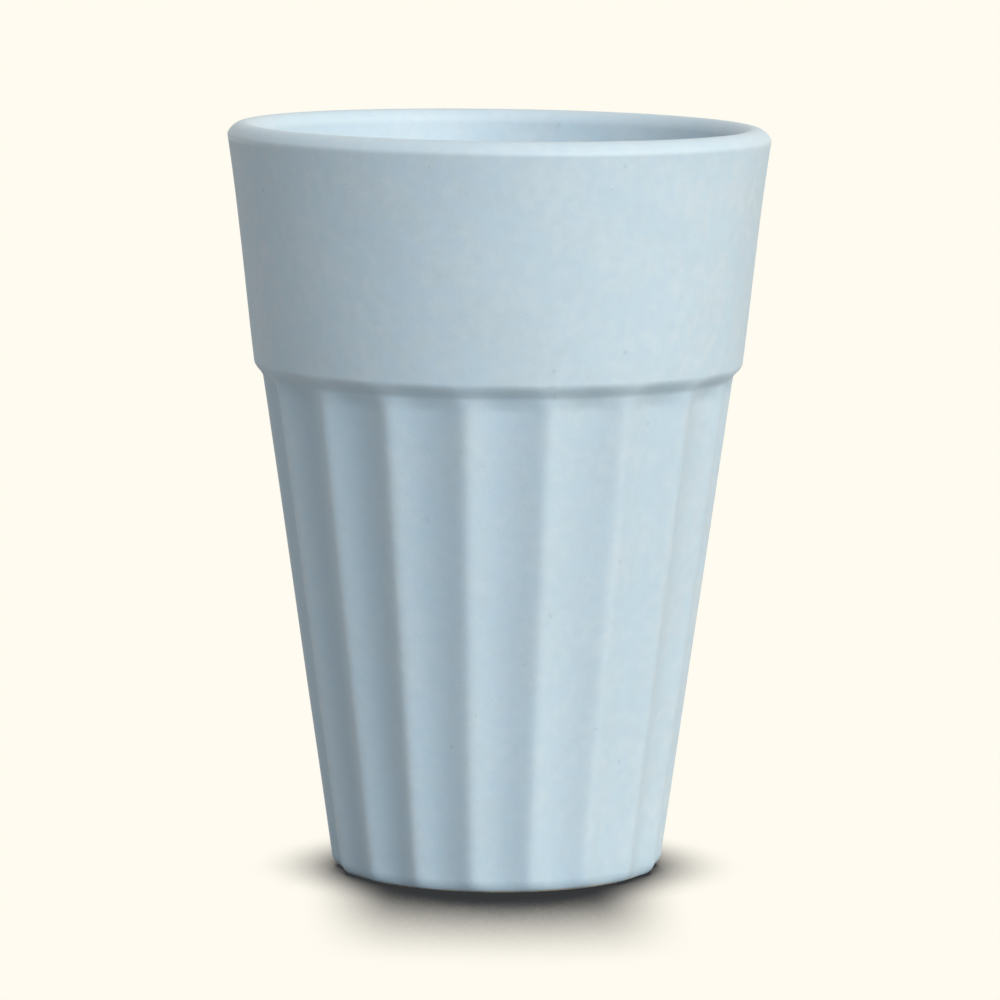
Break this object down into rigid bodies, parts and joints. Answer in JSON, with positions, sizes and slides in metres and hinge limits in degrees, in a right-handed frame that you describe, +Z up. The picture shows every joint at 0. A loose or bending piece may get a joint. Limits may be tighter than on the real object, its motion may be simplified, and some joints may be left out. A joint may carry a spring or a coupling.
{
  "type": "chai cup",
  "caption": "Handleless tapered ceramic chai cup with a plain collar over a fluted wall, a thick rounded lip and a recessed foot, for serving hot tea.",
  "frame": {"origin": "centre of the foot, on the surface that the cup stands on", "axes": "+Z up along the axis of the cup, out of its mouth; the middle of a flute faces -Y"},
  "size_m": [0.07, 0.07, 0.097],
  "materials": {
    "bare_clay": "unglazed buff stoneware, dry and matt",
    "matt_glaze": "matt pale grey-blue glaze with fine specks",
    "liner_glaze": "smoother satin glaze of the same pale grey-blue",
    "base_glaze": "matt pale grey-blue glaze"
  },
  "bodies": {
    "root": {"clay_body": "bare_clay", "outer_glaze": "matt_glaze", "liner_glaze": "liner_glaze", "base_glaze": "base_glaze"}
  },
  "joints": []
}
